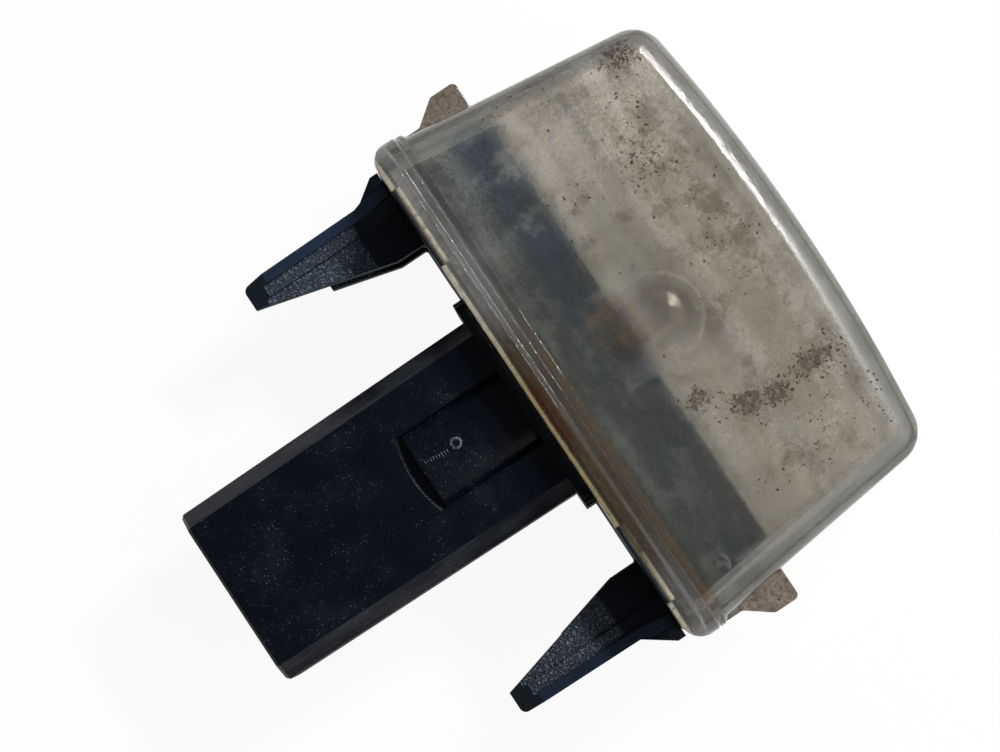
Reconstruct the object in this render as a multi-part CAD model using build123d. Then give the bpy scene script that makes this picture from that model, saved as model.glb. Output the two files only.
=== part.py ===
from build123d import *
from math import asin, degrees, sqrt
import os

# The lens faces -Y and the connector points to +Y. Y = 0 is the rear face of the lens rim, which meets
# the panel. X runs along the lamp and Z across it. A depth counts from Y = 0 into the lens, and a reach
# counts the other way.

# Lens rim, with a stepped lip at the rear, ends that sweep forward, and a foot that slopes down to the bowl
rim_length = 60.1
rim_width = 26.0
rim_depth = 2.3
rim_corner = 4.3
rim_bevel = 0.45
rim_sweep_length = 2.5
rim_sweep_depth = 2.5
lip_depth = 0.8
lip_inset = 0.25
foot_end_inset = 0.0
foot_face_inset = 0.55
foot_depth = 3.4
foot_bevel = 0.3
foot_slope = 31.0
foot_slope_run = 2.2
foot_end_depth = 4.5
foot_end_bevel = 0.5
foot_end_cover = 0.2

# Lens bowl, set in from the rim, with ends that draw in towards the front
lens_depth = 33.0
lens_wall = 1.8
bowl_end_inset = 0.1
bowl_face_inset = 1.3
bowl_end_draft = 4.25
bowl_round = 3.3
bowl_end_round = 3.7
front_bow_radius = 190.0

# Seat for the housing in the rear of the lens, and the four keys that set it
seat_depth = 2.2
seat_ledge = 0.45
seat_corner = 2.6
seat_clearance = 0.15
key_start = 15.8
key_length = 9.2
key_depth = 0.25
key_inset = 0.1
bead_radius = 0.28

# End lugs of the lens: their neck is flush with the rim's end, and they stand out past it
lug_stand = 2.05
lug_neck_inset = 0.0
lug_width = 10.0
lug_ramp_start = 6.2
lug_ramp_end = 8.9
lug_depth = 11.9
lug_round = 0.6

# Tub of the housing, inside the lens
tub_gap = 0.8
tub_low_depth = 8.3
tub_depth = 12.4
tub_step = 1.1
tub_wall = 1.4
tub_corner = 2.4
tub_notch_half = 5.2
tub_notch_floor = 8.9
slit_end_wall = 1.6
slit_width = 1.6
slit_floor = 5.0

# Bulb: a glass wedge bulb, its wedge broad along X
bulb_radius = 4.85
bulb_tip_depth = 21.1
bulb_length = 26.8
bulb_wall = 0.6
bulb_wedge = 2.3
bulb_shoulder_depth = 13.0
bulb_neck_depth = 7.4
lead_radius = 0.2
lead_spacing = 5.0
lead_tip_depth = 16.9
lead_fold_depth = 0.6
lead_touch = 0.02
filament_radius = 0.17
filament_depth = 16.4
filament_bow = 0.6
wire_sides = 8

# Bulb socket
socket_wall_x = 1.6
socket_wall_z = 1.6
socket_play = 0.15
socket_spring_room = 1.5
socket_floor_gap = 4.1
stop_rib = 2.4

# Brass contacts
strip = 0.6
strip_gap = 0.03
strip_bend = 1.0
leaf_edge_in = -2.6
leaf_bend_depth = 6.5
leaf_tip_depth = 13.8
leaf_tip_flare = 4.7
leaf_tip_from = 12.4
leaf_tip_in = -1.7
leaf_tip_out = 2.8
leaf_foot_drop = 1.8
jog_drop = 2.0
jog_length = 1.4
blade_pitch = 6.4
blade_width = 2.8
blade_reach = 29.5
blade_point = 0.2
blade_clearance = 0.05

# Connector shroud
shroud_reach = 36.8
shroud_length_root = 21.1
shroud_width_root = 13.4
shroud_length_end = 20.3
shroud_width_end = 12.6
shroud_chamfer = 1.75
shroud_wall = 1.7
shroud_edge_bevel = 0.35
cavity_floor_reach = 13.6
cavity_corner = 1.0
collar_length = 25.0
collar_width = 17.0
collar_reach = 1.2
collar_corner = 1.5

# Latch pocket in the shroud's upper face, with a crowned ramp in it
latch_length = 8.9
latch_side_reach = 13.7
latch_bow = 0.8
latch_depth = 1.7
latch_bevel = 0.5
ramp_reach = 13.2
ramp_crest_drop = 0.35
ramp_crown = 1.0

# Snap wings, set in from the end of the base plate
wing_root_inset = 0.9
wing_knee_step = 0.5
wing_tip_step = 0.7
wing_root_width = 7.4
wing_tip_width = 2.65
wing_knee_reach = 4.2
wing_foot_reach = 2.6
wing_reach = 18.55
wing_tip_round = 0.7
wing_tip_bevel_length = 2.6
wing_tip_bevel_drop = 2.2
wing_root_flare = 0.3
wing_spine = 1.15
wing_spine_half_width = 4.4
wing_band = 1.25
wing_band_half_width = 3.95
wing_web_half_width = 3.5
wing_web = 1.6
wing_inner_reach = 3.3
wing_short_web_reach = 10.8
wing_wedge_stand = 1.9
wing_wedge_reach = 4.6
wing_wedge_crest = 0.95
wing_wedge_width = 2.8


def outline(length, width, corner, depth):
    """A rounded rectangle across the lamp at a depth."""
    return Plane.XZ.offset(depth) * RectangleRounded(length, width, corner)


def slab(length, width, corner, start, end):
    """A rounded plate between two depths."""
    return extrude(outline(length, width, corner, start), end - start)


def block(x_range, y_range, z_range):
    """A box between two corners."""
    size = [high - low for low, high in (x_range, y_range, z_range)]
    middle = [(high + low) / 2 for low, high in (x_range, y_range, z_range)]
    return Pos(*middle) * Box(*size)


def side_plate(points, z_range):
    """A plate cut to an outline in the XY plane."""
    face = make_face(Polyline(*points, close=True))
    return extrude(Pos(0, 0, z_range[0]) * face, z_range[1] - z_range[0])


def both_ends(shape):
    """The shape and its mirror image at the other end of the lamp."""
    return shape + mirror(shape, Plane.YZ)


def both_faces(shape):
    """The shape and its mirror image on the other broad side."""
    return shape + mirror(shape, Plane.XY)


# Sizes that follow from the ones above
bowl_half_length = rim_length / 2 - bowl_end_inset
bowl_half_width = rim_width / 2 - bowl_face_inset


def bowl_inside(depth):
    """Length and width of the bowl's hollow at a depth."""
    draft = bowl_end_draft * depth / lens_depth
    return 2 * (bowl_half_length - draft - lens_wall), 2 * (bowl_half_width - lens_wall)


seat_length, seat_width = [size + 2 * seat_ledge for size in bowl_inside(seat_depth)]
plate_length, plate_width = seat_length - 2 * seat_clearance, seat_width - 2 * seat_clearance
tub_length, tub_width = [size - 2 * tub_gap for size in bowl_inside(tub_low_depth)]
key_end = key_start + key_length
lug_reach = rim_length / 2 + lug_stand
lug_neck = rim_length / 2 - lug_neck_inset
bulb_base_reach = bulb_length - bulb_tip_depth
wedge_half = bulb_wedge / 2
lead_offset = wedge_half + lead_radius + lead_touch
leaf_inner = lead_offset + lead_radius + strip_gap
pocket_half_length = bulb_radius + socket_play
pocket_half_width = leaf_inner + strip + socket_spring_room
pocket_floor_reach = bulb_base_reach + socket_floor_gap
leaf_edge_out = pocket_half_length - 2 * socket_play
leaf_end_reach = bulb_base_reach + leaf_foot_drop
jog_reach = bulb_base_reach + jog_drop
wing_outer_root = plate_length / 2 - wing_root_inset
wing_outer_knee = wing_outer_root - wing_knee_step
wing_outer_tip = wing_outer_root - wing_tip_step
wing_inner_root = wing_outer_root - wing_root_width
wing_inner_tip = wing_outer_tip - wing_tip_width
wing_wedge_out = wing_outer_root + wing_wedge_stand


def bowl_form(inset, ease_edges):
    """The bowl as a full body, drawn in by the inset: drafted ends, a bowed front and eased edges."""
    rear = bowl_half_length - inset
    front = rear - bowl_end_draft
    corners = [(rear, 0), (front, -lens_depth), (-front, -lens_depth), (-rear, 0)]
    sides = make_face(Polyline(*corners, close=True))
    view = sides & Pos(0, front_bow_radius - lens_depth) * Circle(front_bow_radius - inset)
    view = fillet(view.vertices().sort_by(Axis.Y)[:2], bowl_end_round - inset)
    body = extrude(view, bowl_half_width - inset, both=True)
    open_edges = body.faces().sort_by(Axis.Y)[-1].edges()
    broad_edges = body.faces().filter_by(Axis.Z).edges()
    return ease_edges(broad_edges - open_edges, bowl_round - inset)


def eased_slab(length, width, corner, start, end, bevel):
    """A rounded plate between two depths, with its front edge bevelled."""
    plate = slab(length, width, corner, start, end)
    return chamfer(plate.faces().sort_by(Axis.Y)[0].edges(), bevel)


def lens_view():
    """The lens without its lugs, seen on the broad side: straight behind, with ends that sweep forward."""
    end = rim_length / 2
    straight = end - rim_sweep_length
    swept = TangentArc((straight, 0), (end, -rim_sweep_depth), tangent=(1, 0))
    rear = Line((-straight, 0), (straight, 0))
    rest = Polyline(
        (end, -rim_sweep_depth),
        (end, -lens_depth),
        (-end, -lens_depth),
        (-end, -rim_sweep_depth),
    )
    return make_face(swept + mirror(swept, Plane.YZ) + rear + rest)


def make_rim():
    """The flange round the rear of the lens, with its lip and its foot on the bowl, deeper at the ends."""
    rim = eased_slab(rim_length, rim_width, rim_corner, lip_depth, rim_depth, rim_bevel)
    rim += slab(rim_length - 2 * lip_inset, rim_width - 2 * lip_inset, rim_corner - lip_inset, 0, lip_depth)
    foot_length = rim_length - 2 * foot_end_inset
    foot_width = rim_width - 2 * foot_face_inset
    foot_corner = rim_corner - foot_face_inset
    rim += eased_slab(foot_length, foot_width, foot_corner, lip_depth, foot_depth, foot_bevel)
    slope = outline(
        foot_length - 2 * foot_bevel,
        foot_width - 2 * foot_bevel,
        foot_corner - foot_bevel,
        foot_depth,
    )
    rim += extrude(slope, foot_slope_run, taper=foot_slope)
    end_width = rim_width - 2 * bowl_face_inset - 2 * foot_end_cover
    rim += eased_slab(foot_length, end_width, foot_corner, foot_depth, foot_end_depth, foot_end_bevel)
    return rim


def make_lug():
    """The lug on one end of the lens, ramped towards the rim."""
    inner = bowl_half_length - bowl_end_draft * lug_depth / lens_depth - lens_wall / 2
    outside = FilletPolyline(
        (lug_neck, -rim_depth),
        (lug_neck, -lug_ramp_start),
        (lug_reach, -lug_ramp_end),
        (lug_reach, -lug_depth),
        (inner, -lug_depth),
        radius=lug_round,
    )
    inside = Polyline((inner, -lug_depth), (inner, -rim_depth), (lug_neck, -rim_depth))
    return extrude(make_face(outside + inside), lug_width / 2, both=True)


def make_lens():
    """The clear moulding: bowl, rim, lugs, seat and key slots."""
    lens = (bowl_form(0, fillet) + make_rim()) & extrude(lens_view(), rim_width, both=True)
    lens += both_ends(make_lug())
    lens -= bowl_form(lens_wall, chamfer)
    lens -= slab(seat_length, seat_width, seat_corner, 0, seat_depth)
    slot = block(
        (key_start, key_end),
        (-key_depth - seat_clearance, 0),
        (seat_width / 2 - seat_corner, rim_width),
    )
    lens -= both_ends(both_faces(slot))
    bead_y = -key_depth - seat_clearance - bead_radius
    bead_z = rim_width / 2 - lip_inset
    bead_x = (key_start + key_end) / 2
    bead = Pos(bead_x, bead_y, bead_z) * Rot(0, 90, 0) * Cylinder(bead_radius, key_length)
    return lens + both_ends(both_faces(bead))


def make_tub():
    """The base plate with its keys, the stepped tub and the socket, all inside the lens."""
    tub = slab(plate_length, plate_width, seat_corner - seat_clearance, 0, seat_depth)
    key = block(
        (key_start + seat_clearance, key_end - seat_clearance),
        (-key_depth, 0),
        (plate_width / 2 - seat_corner, rim_width / 2 - lip_inset - key_inset),
    )
    tub += both_ends(both_faces(key))
    tub += slab(tub_length, tub_width, tub_corner, seat_depth, tub_low_depth)
    high_length = tub_length - 2 * tub_step
    high_width = tub_width - 2 * tub_step
    tub += slab(high_length, high_width, tub_corner - tub_step / 2, tub_low_depth, tub_depth)
    hollow_corner = tub_corner - tub_step / 2 - tub_wall / 2
    tub -= slab(high_length - 2 * tub_wall, high_width - 2 * tub_wall, hollow_corner, seat_depth, tub_depth)
    notch = block(
        (-tub_notch_half, tub_notch_half),
        (-tub_depth, -tub_notch_floor),
        (-tub_width, tub_width),
    )
    slit_end = tub_length / 2 - slit_end_wall
    slit = block((slit_end - slit_width, slit_end), (-tub_low_depth, -slit_floor), (-tub_width, tub_width))
    socket_x = pocket_half_length + socket_wall_x
    socket_z = pocket_half_width + socket_wall_z
    socket = block((-socket_x, socket_x), (-tub_low_depth, -seat_depth), (-socket_z, socket_z))
    return tub - notch - both_ends(slit) + socket


def shroud_section(length, width, depth):
    """The connector's outline: a rectangle with its corners cut off."""
    section = chamfer(Rectangle(length, width).vertices(), shroud_chamfer)
    return Plane.XZ.offset(depth) * section


def upper_face(reach):
    """Height of the shroud's upper face at a reach."""
    slope = (shroud_width_end - shroud_width_root) / 2 / shroud_reach
    return shroud_width_root / 2 + slope * reach


def latch_outline(grow):
    """The latch pocket seen from above: straight sides and a bowed end."""
    half = latch_length / 2 + grow
    end = latch_side_reach + grow
    bow = ThreePointArc((-half, end), (0, end + latch_bow), (half, end))
    sides = Polyline((half, end), (half, collar_reach), (-half, collar_reach), (-half, end))
    return make_face(bow + sides)


def make_latch_pocket():
    """What is cut from the shroud for the latch: the pocket less its crowned ramp, and its bevelled rim."""
    floor = upper_face(latch_side_reach) - latch_depth
    rim = upper_face(0)
    pocket = extrude(Pos(0, 0, floor) * latch_outline(0), rim - floor + latch_bevel)
    bevel_top = upper_face(latch_side_reach) + latch_bevel
    bevel = extrude(Pos(0, 0, bevel_top) * latch_outline(latch_bevel), -2 * latch_bevel, taper=45)
    crest = upper_face(ramp_reach) - ramp_crest_drop
    half = latch_length / 2
    crown = ThreePointArc((-half, crest - ramp_crown), (0, crest), (half, crest - ramp_crown))
    sides = Polyline(
        (half, crest - ramp_crown),
        (half, floor),
        (-half, floor),
        (-half, crest - ramp_crown),
    )
    ramp = extrude(Plane.XZ * make_face(crown + sides), -ramp_reach)
    return pocket + bevel - ramp


def make_shroud():
    """The connector: a hollow shroud on a collar, with the latch pocket."""
    root = shroud_section(shroud_length_root, shroud_width_root, 0)
    end = shroud_section(shroud_length_end, shroud_width_end, -shroud_reach)
    shroud = loft([root, end])
    shroud = chamfer(shroud.faces().sort_by(Axis.Y)[-1].edges(), shroud_edge_bevel)
    shroud -= slab(
        shroud_length_end - 2 * shroud_wall,
        shroud_width_end - 2 * shroud_wall,
        cavity_corner,
        -shroud_reach,
        -cavity_floor_reach,
    )
    shroud -= make_latch_pocket()
    return shroud + slab(collar_length, collar_width, collar_corner, -collar_reach, 0)


def wing_inner_edge(reach):
    """X of the wing's inner edge at a reach: straight at the root, then tapered to the tip."""
    run = max(0, reach - wing_inner_reach) / (wing_reach - wing_inner_reach)
    return wing_inner_root + (wing_inner_tip - wing_inner_root) * run


def make_web(reach, outer, z_range):
    """One web of a wing, from the base plate to its reach, with a tapered inner edge."""
    points = [
        (outer, 0),
        (outer, reach),
        (wing_inner_edge(reach), reach),
        (wing_inner_root, wing_inner_reach),
        (wing_inner_root, wing_root_flare),
        (wing_inner_root - wing_root_flare, 0),
    ]
    return side_plate(points, z_range)


def make_wing():
    """One snap wing: a spine, a long and a short web, and the wedge rib that grips the panel."""
    spine_points = [
        (wing_outer_root - wing_spine, 0),
        (wing_outer_root, 0),
        (wing_outer_root, wing_foot_reach),
        (wing_outer_knee, wing_knee_reach),
        (wing_outer_tip, wing_reach),
        (wing_outer_tip - wing_spine, wing_reach),
        (wing_outer_knee - wing_spine, wing_knee_reach),
    ]
    spine = side_plate(spine_points, (-wing_spine_half_width, wing_spine_half_width))
    tip_edge = spine.edges().filter_by(Axis.Z).sort_by(Axis.Y)[-2:].sort_by(Axis.X)[-1]
    wing = fillet(tip_edge, wing_tip_round)
    seam = wing_outer_tip - wing_spine / 2
    web_floor = wing_web_half_width - wing_web
    wing += make_web(wing_reach, seam, (web_floor, wing_web_half_width))
    wing += make_web(wing_short_web_reach, seam, (-wing_web_half_width, -web_floor))
    band_edge = wing_outer_tip - wing_spine - wing_band
    band_points = [
        (seam, 0),
        (seam, wing_reach),
        (band_edge, wing_reach),
        (band_edge, 0),
    ]
    wing += side_plate(band_points, (web_floor, wing_band_half_width))
    bevel_points = [
        (wing_reach - wing_tip_bevel_length, wing_spine_half_width),
        (wing_reach, wing_spine_half_width - wing_tip_bevel_drop),
        (wing_reach, wing_spine_half_width),
    ]
    tip_bevel = extrude(Plane.YZ * make_face(Polyline(*bevel_points, close=True)), wing_outer_root)
    wing -= both_faces(tip_bevel)
    wedge_points = [
        (wing_outer_root - wing_spine, 0),
        (wing_wedge_out, 0),
        (wing_wedge_out, wing_wedge_crest),
        (wing_outer_tip, wing_wedge_reach),
        (wing_outer_root - wing_spine, wing_wedge_reach),
    ]
    return wing + side_plate(wedge_points, (-wing_wedge_width / 2, wing_wedge_width / 2))


def make_housing():
    """The black moulding: tub, connector and wings, with the bulb's pocket and the blade slots."""
    housing = make_tub() + make_shroud() + both_ends(make_wing())
    housing -= block(
        (-pocket_half_length, pocket_half_length),
        (-tub_low_depth, pocket_floor_reach),
        (-pocket_half_width, pocket_half_width),
    )
    housing += block(
        (-stop_rib / 2, stop_rib / 2),
        (bulb_base_reach, pocket_floor_reach),
        (-stop_rib / 2, stop_rib / 2),
    )
    slot_half = blade_width / 2 + blade_clearance
    slot = block(
        (blade_pitch / 2 - slot_half, blade_pitch / 2 + slot_half),
        (pocket_floor_reach, cavity_floor_reach),
        (-strip / 2 - blade_clearance, strip / 2 + blade_clearance),
    )
    return housing - both_ends(slot)


def make_contact():
    """A brass strip: blade in the connector, jog round the bulb's foot, and spring leaf on the wedge."""
    leaf_z = leaf_inner + strip / 2
    path = FilletPolyline(
        (blade_reach, 0),
        (jog_reach + jog_length, 0),
        (jog_reach, leaf_z),
        (-leaf_bend_depth, leaf_z),
        (-leaf_tip_depth, leaf_z + leaf_tip_flare),
        radius=strip_bend,
    )
    bent = extrude(Plane.YZ * trace(path, strip), pocket_half_length, both=True)
    blade_in = (blade_pitch - blade_width) / 2
    blade_out = (blade_pitch + blade_width) / 2
    plan = [
        (blade_in + blade_point, blade_reach),
        (blade_out - blade_point, blade_reach),
        (blade_out, blade_reach - 2 * blade_point),
        (blade_out, leaf_end_reach),
        (leaf_edge_out, leaf_end_reach),
        (leaf_edge_out, -leaf_tip_from),
        (leaf_tip_out, -leaf_tip_from),
        (leaf_tip_out, -lens_depth),
        (leaf_tip_in, -lens_depth),
        (leaf_tip_in, -leaf_tip_from),
        (leaf_edge_in, -leaf_tip_from),
        (leaf_edge_in, leaf_end_reach),
        (blade_in, leaf_end_reach),
        (blade_in, blade_reach - 2 * blade_point),
    ]
    return bent & side_plate(plan, (-rim_width / 2, rim_width / 2))


def bulb_form(inset, foot, dome_line):
    """The bulb as a full body down to its foot, drawn in by the inset: a domed rod flattened to a wedge."""
    radius = bulb_radius - inset
    tip = inset - bulb_tip_depth
    dome_y = tip + radius
    dome = dome_line((0, tip), (radius * sqrt(0.5), dome_y - radius * sqrt(0.5)), (radius, dome_y))
    stem = Polyline((radius, dome_y), (radius, foot), (0, foot), (0, tip))
    rod = revolve(make_face(dome + stem), Axis.Y)
    half = wedge_half - inset
    shoulder = -bulb_shoulder_depth
    neck = -bulb_neck_depth - 2 * inset
    middle = ((shoulder + neck) / 2, (radius + half) / 2)
    flank = TangentArc((shoulder, radius), middle, tangent=(1, 0))
    flank += TangentArc((neck, half), middle, tangent=(-1, 0))
    flank += mirror(flank, Plane.XZ)
    front = Polyline(
        (shoulder, radius),
        (-bulb_tip_depth, radius),
        (-bulb_tip_depth, -radius),
        (shoulder, -radius),
    )
    rear = Polyline((neck, half), (foot, half), (foot, -half), (neck, -half))
    return rod & extrude(Plane.YZ * make_face(flank + front + rear), bulb_radius, both=True)


def make_lead():
    """A lead wire: from the filament through the glass wedge, and folded back on its upper face."""
    fold_reach = bulb_base_reach + lead_radius
    x = lead_spacing / 2
    path = Polyline(
        (x, -lead_tip_depth, 0),
        (x, fold_reach, 0),
        (x, fold_reach, lead_offset),
        (x, -lead_fold_depth, lead_offset),
    )
    start = Pos(x) * Plane.XZ.offset(lead_tip_depth)
    section = start * RegularPolygon(lead_radius, wire_sides, major_radius=False)
    return sweep(section, path, transition=Transition.RIGHT)


def make_glass(leads):
    """The glass envelope, closed round the leads at its wedge, with a hollow that is bevelled at its tip."""
    envelope = bulb_form(0, bulb_base_reach, ThreePointArc)
    envelope -= bulb_form(bulb_wall, -bulb_neck_depth - bulb_wall, Polyline)
    for lead in leads:
        envelope -= lead
    return envelope


def make_filament(leads):
    """The filament, bowed between the tips of the leads."""
    end = lead_spacing / 2
    radius = (end**2 + filament_bow**2) / (2 * filament_bow)
    centre = (0, radius - filament_bow - filament_depth, 0)
    half_angle = degrees(asin(end / radius))
    section = Plane.YZ * Pos(centre[1] - radius, 0) * RegularPolygon(filament_radius, wire_sides)
    filament = revolve(section, Axis(centre, (0, 0, 1)), 2 * half_angle)
    filament = filament.rotate(Axis(centre, (0, 0, 1)), -half_angle)
    for lead in leads:
        filament -= lead
    return filament


lens = make_lens()
housing = make_housing()
contact_near = make_contact()
contact_far = contact_near.rotate(Axis.Y, 180)
lead_wire_near = make_lead()
lead_wire_far = lead_wire_near.rotate(Axis.Y, 180)
bulb_glass_body = make_glass([lead_wire_near, lead_wire_far])
bulb_filament = make_filament([lead_wire_near, lead_wire_far])

nodes = {
    "lens": lens,
    "housing": housing,
    "contact_near": contact_near,
    "contact_far": contact_far,
    "lead_wire_near": lead_wire_near,
    "lead_wire_far": lead_wire_far,
    "bulb_glass": bulb_glass_body,
    "bulb_filament": bulb_filament,
}

os.makedirs("parts", exist_ok=True)
for name, shape in nodes.items():
    export_step(shape, f"parts/{name}.step")
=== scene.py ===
import math
import random

import bpy
from bpy.props import FloatProperty, FloatVectorProperty, IntProperty, PointerProperty
from mathutils import Matrix, Vector


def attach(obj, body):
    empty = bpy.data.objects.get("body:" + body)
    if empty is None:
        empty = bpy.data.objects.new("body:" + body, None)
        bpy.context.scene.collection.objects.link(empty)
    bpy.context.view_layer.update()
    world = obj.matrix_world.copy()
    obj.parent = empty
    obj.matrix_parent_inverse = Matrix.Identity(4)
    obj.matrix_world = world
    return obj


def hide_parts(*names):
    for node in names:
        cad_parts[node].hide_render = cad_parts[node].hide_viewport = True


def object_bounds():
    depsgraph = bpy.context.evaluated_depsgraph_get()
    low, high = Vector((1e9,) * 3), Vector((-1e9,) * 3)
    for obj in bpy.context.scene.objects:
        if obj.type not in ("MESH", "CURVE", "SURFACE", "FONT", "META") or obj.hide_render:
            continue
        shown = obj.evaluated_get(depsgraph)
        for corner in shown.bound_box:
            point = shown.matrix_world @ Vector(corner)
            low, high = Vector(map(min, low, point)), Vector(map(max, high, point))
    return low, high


bl_info = {
    "name": "Number plate lamp",
    "version": (1, 0, 0),
    "blender": (4, 5, 0),
    "location": "View3D > Sidebar > Lamp",
    "description": "Dresses the lamp's solids: hazed lens, black housing, bulb and contacts",
    "category": "Object",
}

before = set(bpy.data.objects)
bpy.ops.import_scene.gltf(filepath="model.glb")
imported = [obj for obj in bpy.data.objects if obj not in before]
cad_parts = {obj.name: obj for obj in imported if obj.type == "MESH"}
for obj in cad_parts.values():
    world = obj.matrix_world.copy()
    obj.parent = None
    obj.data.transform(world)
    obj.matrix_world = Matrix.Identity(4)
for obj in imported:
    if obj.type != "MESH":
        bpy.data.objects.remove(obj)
CAD_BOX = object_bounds()
MM = 0.001

# Lines of the lens in millimetres: its end faces taper, its front is bowed, and its near side is flat
END_LINE = 28.9
END_TAPER = 0.1288
FRONT_BOW = 380
NEAR_SIDE = 11.7
NEAR_CORNER = 10.5

# Colours of the dirt on the lens and of what shows through it, and of the painted sheen on the housing's webs
WIPED_FILM = (0.38, 0.38, 0.365)
NAVY_TUB = (0.130, 0.175, 0.235)
GREEN_SILT = (0.27, 0.285, 0.245)
DULL_BRASS = (0.155, 0.120, 0.082)
WARM_BRASS = (0.285, 0.165, 0.075)
SIDE_VEIL = (0.42, 0.42, 0.40)
CRUST = (0.135, 0.112, 0.082)
PALE_GROOVE = (0.31, 0.30, 0.29)
BROWN_GROOVE = (0.15, 0.13, 0.10)
BROWN_LIP = (0.30, 0.24, 0.125)
RIM_STAIN = (0.16, 0.105, 0.055)
RIM_MUD = (0.078, 0.058, 0.032)
DARK_SOIL = (0.15, 0.118, 0.095)
PALE_SOIL = (0.36, 0.30, 0.25)
PAINTED_WEB_SHEEN = (0.028, 0.045, 0.074)

# Where crusts gather on the lens: middle, reach along each axis, softness and share
CRUST_SPOTS = (
    ((24.2, -26.8, NEAR_CORNER), (3.8, 4.8, 4.0), 0.8, 1.0),
    ((26.2, -16.0, NEAR_CORNER), (2.4, 14.0, 4.0), 0.8, 0.65),
    ((14.0, -23.5, NEAR_SIDE), (11.0, 7.5, 3.0), 0.9, 0.55),
    ((3.0, -27.0, NEAR_SIDE), (9.0, 4.0, 3.0), 0.9, 0.45),
    ((-9.6, -14.2, NEAR_SIDE), (2.2, 2.2, 3.0), 0.8, 0.9),
    ((-12.6, -18.0, NEAR_SIDE), (2.4, 3.0, 3.0), 0.8, 1.0),
    ((-13.6, -21.0, NEAR_SIDE), (2.2, 3.2, 3.0), 0.8, 1.0),
    ((-12.8, -26.0, NEAR_SIDE), (2.0, 4.2, 3.0), 0.8, 1.0),
    ((-20.5, -20.5, NEAR_SIDE), (4.6, 8.0, 3.0), 0.8, 0.45),
)

# Places of the small marks in millimetres
GATE_PLACE = (0.55, 8.75)
FIRST_TICK = (0.30, 9.95)
TICK_ROW = (0.38, 2.55)
DROP_PLACE = (-24.6, -6.9)

# Lamps: name, place, target, size in metres and power in watts
LAMPS = (
    ("window", (0.100, -0.400, 0.440), (0, -0.01, 0), (0.16, 0.05), 3.1),
    ("side_fill", (-0.30, -0.30, 0.36), (0, 0, 0), (0.5, 0.5), 1.3),
)


def colour(name, about, default):
    """A linear colour that the user can change."""
    return FloatVectorProperty(name=name, description=about, default=default, subtype="COLOR", min=0, max=1)


def length(name, about, default):
    """A length in metres that the user can change."""
    return FloatProperty(name=name, description=about, default=default, unit="LENGTH", precision=5)


class LampLensLook(bpy.types.PropertyGroup):
    """Colours of the hazed and dirty lens."""

    clear: colour("Clear plastic", "Tint of the bare plastic's surface", (0.60, 0.59, 0.55))
    smoke: colour("Smoke", "Tint of the plastic's depth", (0.75, 0.73, 0.67))
    depth: FloatProperty(name="Smoke density", description="How fast the plastic darkens per metre",
                         default=150)
    film: colour("Film", "Dried film that hazes the lens", (0.51, 0.470, 0.400))
    tan: colour("Tan", "Thicker patches of the film", (0.20, 0.168, 0.130))
    slate: colour("Slate", "Film over the tub", (0.235, 0.265, 0.265))
    cream: colour("Cream", "Worn lip of the rim", (0.47, 0.43, 0.33))
    grime: colour("Grime", "Dark brown specks", (0.040, 0.030, 0.019))
    rust: colour("Rust", "Rusty dirt in the rim", (0.062, 0.022, 0.009))
    haze: FloatProperty(name="Haze", description="Share of the outside that the film covers", default=0.19,
                        min=0, max=1, subtype="FACTOR")


class LampHousingLook(bpy.types.PropertyGroup):
    """Colours of the black housing and the metal in it."""

    plastic: colour("Plastic", "Black moulded plastic", (0.0018, 0.0034, 0.0076))
    # the spine colour is a painted sheen on the wings' smooth backs
    spine: colour("Spine", "Smooth backs of the wings", (0.0220, 0.0400, 0.0750))
    # the dust colour also paints the webs' glints as painted highlights
    dust: colour("Dust", "Fine dust and glints", (0.30, 0.33, 0.36))
    brass: colour("Brass", "Contact strips", (0.50, 0.28, 0.10))
    tarnish: colour("Tarnish", "Stains on the contact strips", (0.13, 0.055, 0.018))
    wire: colour("Wire", "Bulb's lead wires", (0.50, 0.46, 0.41))


class LampBulbSizes(bpy.types.PropertyGroup):
    """Sizes of the bulb's glass and of its coiled filament."""

    radius: length("Glass radius", "Radius of the bulb's round end", 0.00485)
    wall: length("Wall", "Thickness of the glass round the hollow", 0.00035)
    tip: length("Tip", "Depth of the glass tip before the rim's rear face", 0.0211)
    shoulder: length("Shoulder", "Depth at which the glass begins to flatten", 0.0130)
    neck: length("Neck", "Depth at which the flat wedge begins", 0.0074)
    base: length("Base", "Reach of the wedge behind the rim's rear face", 0.0057)
    wedge: length("Wedge", "Thickness of the flat wedge", 0.0023)
    span: length("Span", "Length of the filament's coil", 0.0048)
    coil_depth: length("Coil depth", "Depth of the coil's ends", 0.01655)
    bow: length("Bow", "How far the coil's middle stands forward", 0.00055)
    coil: length("Coil radius", "Radius of the coil's middle line", 0.00013)
    thread: length("Thread", "Radius of the drawn wire", 0.000032)
    turns: IntProperty(name="Turns", description="Number of turns in the coil", default=36, min=4)


class LampMarkSizes(bpy.types.PropertyGroup):
    """Sizes of the small marks on the latch ramp and on the lens."""

    gate: length("Gate mark", "Radius of the rough ring left by the mould's gate", 0.00066)
    gate_height: length("Gate height", "How far that ring stands up", 0.00011)
    tick: length("Tick", "Length of one chatter tick", 0.00075)
    ticks: IntProperty(name="Ticks", description="Number of chatter ticks", default=9, min=1)
    drop: length("Drop", "Half the length of the dried drop on the lens", 0.00115)
    flake: length("Flake", "Width of a middling flake of dirt", 0.00026)
    flakes: IntProperty(name="Flakes", description="Flakes of dirt in a full patch", default=70, min=0)


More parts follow.
